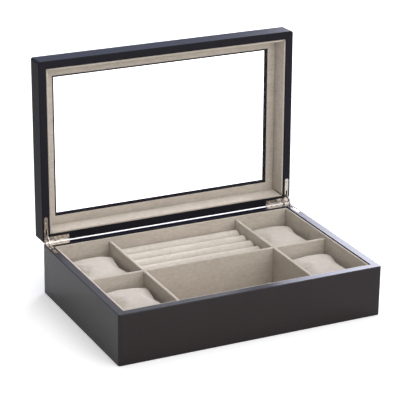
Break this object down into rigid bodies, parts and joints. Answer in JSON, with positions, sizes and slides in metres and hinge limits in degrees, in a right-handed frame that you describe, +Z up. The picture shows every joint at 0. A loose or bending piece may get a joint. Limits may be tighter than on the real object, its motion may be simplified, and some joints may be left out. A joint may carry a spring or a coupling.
{
  "type": "valet case for glasses, watches and rings",
  "caption": "Black wooden valet case with a hinged glass-window lid, a glasses bay, a bay of ring rolls and corner bays with lift-out watch pillows.",
  "frame": {"origin": "centre of the base's underside, on the table", "axes": "+X to the right along the long side, +Y from the front to the hinges, +Z up; the lid stands open"},
  "size_m": [0.33, 0.2498, 0.2826],
  "materials": {
    "black_lacquer": "satin black lacquer on wood",
    "panel_board": "plain board",
    "base_felt": "black felt",
    "lining_suede": "greige suede cloth on board",
    "roll_suede": "greige suede cloth on foam",
    "pillow_suede": "greige suede cloth, stuffed",
    "clear_glass": "clear flat glass",
    "champagne_brass": "polished, pale champagne plating",
    "screw_brass": "plated countersunk screws",
    "pin_steel": "plain steel pin"
  },
  "bodies": {
    "base": {"front_wall": "black_lacquer", "back_wall": "black_lacquer", "left_wall": "black_lacquer", "right_wall": "black_lacquer", "bottom_panel": "panel_board", "base_felt": "base_felt", "floor_lining": "lining_suede", "front_lining": "lining_suede", "back_lining": "lining_suede", "left_lining": "lining_suede", "right_lining": "lining_suede", "left_divider": "lining_suede", "right_divider": "lining_suede", "cross_divider": "lining_suede", "ring_board": "panel_board", "ring_battens": "panel_board", "ring_roll_1": "roll_suede", "ring_roll_2": "roll_suede", "ring_roll_3": "roll_suede", "ring_roll_4": "roll_suede", "ring_roll_5": "roll_suede", "left_base_leaf": "champagne_brass", "right_base_leaf": "champagne_brass", "left_hinge_pin": "pin_steel", "right_hinge_pin": "pin_steel", "base_leaf_screws": "screw_brass"},
    "lid": {"lid_front_rail": "black_lacquer", "lid_back_rail": "black_lacquer", "lid_left_rail": "black_lacquer", "lid_right_rail": "black_lacquer", "glass_pane": "clear_glass", "inner_frame": "lining_suede", "lid_front_lining": "lining_suede", "lid_back_lining": "lining_suede", "lid_left_lining": "lining_suede", "lid_right_lining": "lining_suede", "left_lid_leaf": "champagne_brass", "right_lid_leaf": "champagne_brass", "lid_leaf_screws": "screw_brass"},
    "left_stay": {"left_stay": "champagne_brass"},
    "right_stay": {"right_stay": "champagne_brass"},
    "front_left_pillow": {"front_left_pillow": "pillow_suede"},
    "front_right_pillow": {"front_right_pillow": "pillow_suede"},
    "rear_left_pillow": {"rear_left_pillow": "pillow_suede"},
    "rear_right_pillow": {"rear_right_pillow": "pillow_suede"}
  },
  "joints": [
    {"name": "lid_hinge", "type": "hinge", "parent": "base", "child": "lid", "pos_m": [0, 0.1107, 0.06165], "axis": [1, 0, 0], "range_deg": [0, 91.2]},
    {"name": "left_stay_slide", "type": "hinge", "parent": "base", "child": "left_stay", "pos_m": [0, 0.1107, 0.06165], "axis": [1, 0, 0], "range_deg": [0, 45.6]},
    {"name": "right_stay_slide", "type": "hinge", "parent": "base", "child": "right_stay", "pos_m": [0, 0.1107, 0.06165], "axis": [1, 0, 0], "range_deg": [0, 45.6]},
    {"name": "front_left_pillow_lift", "type": "slide", "parent": "base", "child": "front_left_pillow", "axis": [0, 0, 1], "range_m": [0, 0.034]},
    {"name": "front_right_pillow_lift", "type": "slide", "parent": "base", "child": "front_right_pillow", "axis": [0, 0, 1], "range_m": [0, 0.034]},
    {"name": "rear_left_pillow_lift", "type": "slide", "parent": "base", "child": "rear_left_pillow", "axis": [0, 0, 1], "range_m": [0, 0.034]},
    {"name": "rear_right_pillow_lift", "type": "slide", "parent": "base", "child": "rear_right_pillow", "axis": [0, 0, 1], "range_m": [0, 0.034]}
  ],
  "couplings": [
    {"joint": "left_stay_slide", "follows": "lid_hinge", "ratio": 0.5},
    {"joint": "right_stay_slide", "follows": "lid_hinge", "ratio": 0.5}
  ]
}
